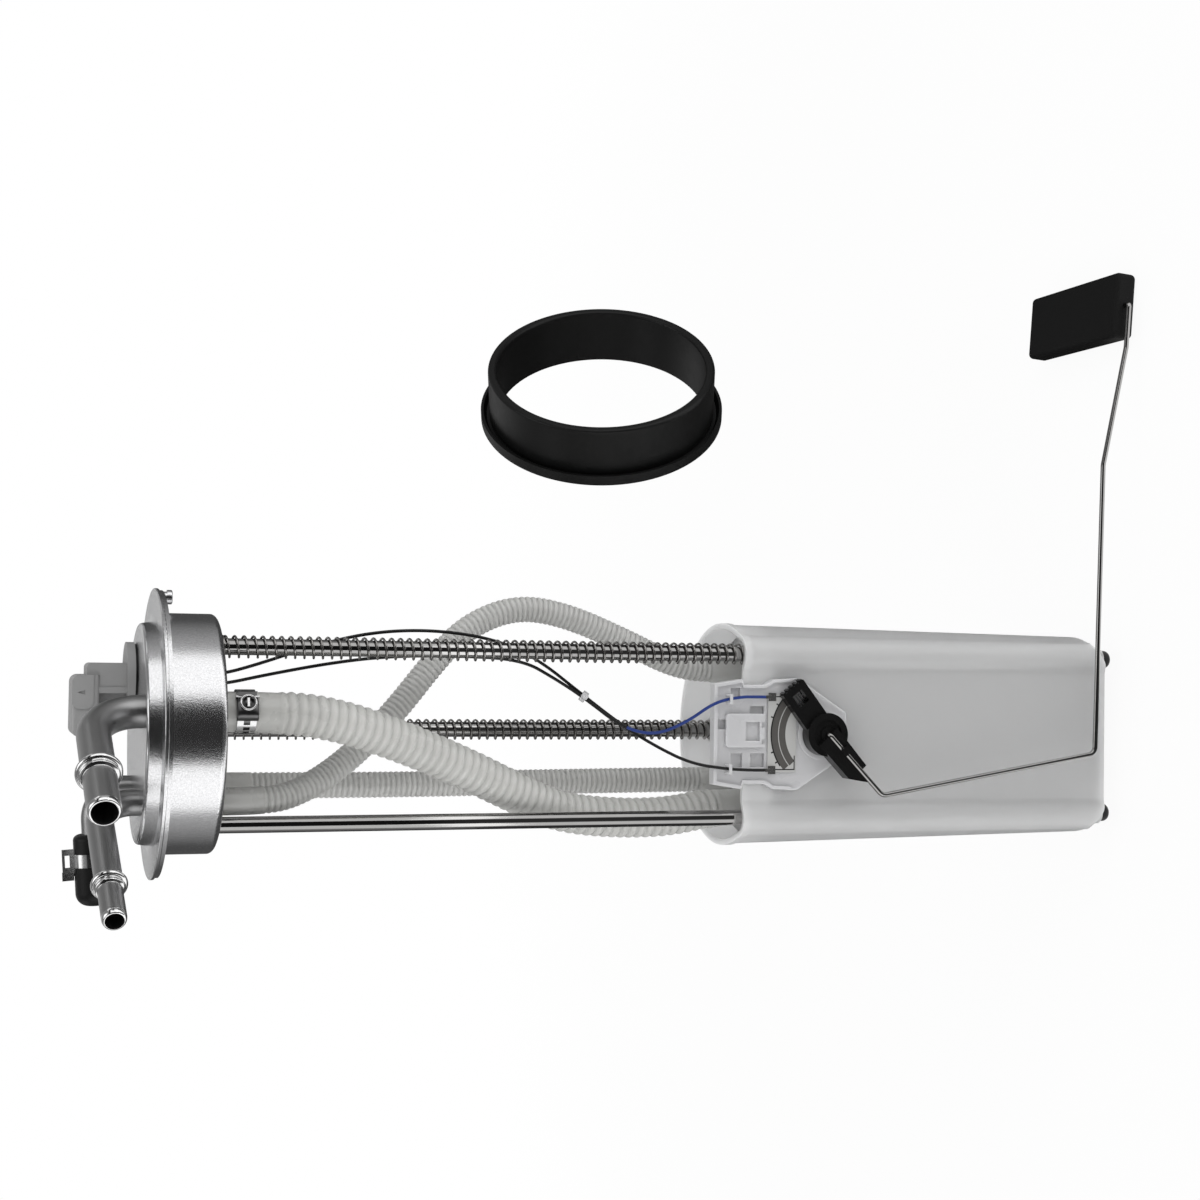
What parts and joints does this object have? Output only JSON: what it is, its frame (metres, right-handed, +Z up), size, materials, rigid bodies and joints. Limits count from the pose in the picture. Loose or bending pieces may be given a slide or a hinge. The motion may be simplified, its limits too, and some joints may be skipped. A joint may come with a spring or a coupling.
{
  "type": "fuel pump module",
  "caption": "In-tank fuel module: round steel cover with pipes, sprung guide rods, corrugated hoses, milky reservoir and a level sender with a float on a bent wire.",
  "frame": {"origin": "centre of the flange's under face, which rests on the tank", "axes": "+Z up out of the tank along the guide rods, the level sender faces -Y"},
  "size_m": [0.2924, 0.2141, 0.4822],
  "materials": {
    "cover_steel": "satin, grainy zinc-like coat",
    "pipe_steel": "satin tube with bright beads",
    "rod_steel": "polished rod",
    "spring_steel": "dark drawn wire",
    "clip_steel": "bright pressed strip",
    "black_rubber": "smooth",
    "grey_plastic": "moulded",
    "milky_plastic": "natural, translucent",
    "white_plastic": "natural, translucent",
    "black_plastic": "semi-gloss moulding",
    "hose_plastic": "translucent corrugated tube",
    "terminal_brass": "tinned",
    "ceramic_card": "smooth, with printed arcs",
    "wire_black": "insulation",
    "wire_blue": "insulation",
    "filter_mesh": "woven nylon",
    "float_foam": "closed-cell, matt"
  },
  "bodies": {
    "flange": {"cover_plate": "cover_steel", "can": "cover_steel", "index_peg": "cover_steel", "feed_pipe": "pipe_steel", "return_pipe": "pipe_steel", "vent_pipe": "pipe_steel", "port_cap": "black_rubber", "cap_clip": "clip_steel", "connector": "grey_plastic", "connector_pins": "terminal_brass", "connector_gasket": "black_rubber", "wire_grommet": "black_rubber", "guide_rod_upper": "rod_steel", "guide_rod_lower": "rod_steel", "guide_rod_rear": "rod_steel", "rod_clips": "spring_steel", "spring_upper": "spring_steel", "spring_rear": "spring_steel", "feed_hose": "hose_plastic", "return_hose": "hose_plastic", "vent_hose": "hose_plastic", "wire_black": "wire_black", "wire_blue": "wire_blue", "wire_tie": "white_plastic", "clamp_band": "clip_steel", "clamp_housing": "clip_steel", "clamp_screw": "clip_steel", "seal_ring": "black_rubber"},
    "reservoir": {"reservoir": "milky_plastic", "rubber_feet": "black_rubber", "inlet_valve": "black_rubber", "reservoir_lid": "milky_plastic", "rod_bushes": "white_plastic", "pickup_tube": "white_plastic", "strainer": "filter_mesh", "jet_pump": "white_plastic", "sender_bracket": "white_plastic", "resistor_card": "ceramic_card", "card_terminals": "terminal_brass"},
    "sender_arm": {"sender_rotor": "black_plastic", "wiper_contacts": "clip_steel", "float_wire": "rod_steel"},
    "float": {"float": "float_foam", "push_nut": "clip_steel"}
  },
  "joints": [
    {"name": "reservoir_slide", "type": "slide", "parent": "flange", "child": "reservoir", "axis": [0, 0, 1], "range_m": [0, 0.1], "stiffness_N_per_m": 60, "springref_m": -0.1, "deforming": ["spring_upper", "spring_rear", "feed_hose", "return_hose", "vent_hose", "wire_black", "wire_blue", "wire_tie"]},
    {"name": "float_arm", "type": "hinge", "parent": "reservoir", "child": "sender_arm", "pos_m": [0.0012, -0.035, -0.2864], "axis": [0, -1, 0], "range_deg": [0, 80]},
    {"name": "float_swivel", "type": "hinge", "parent": "sender_arm", "child": "float", "pos_m": [0.2035, 0.001, -0.4386], "axis": [0, 1, 0], "continuous": true}
  ]
}
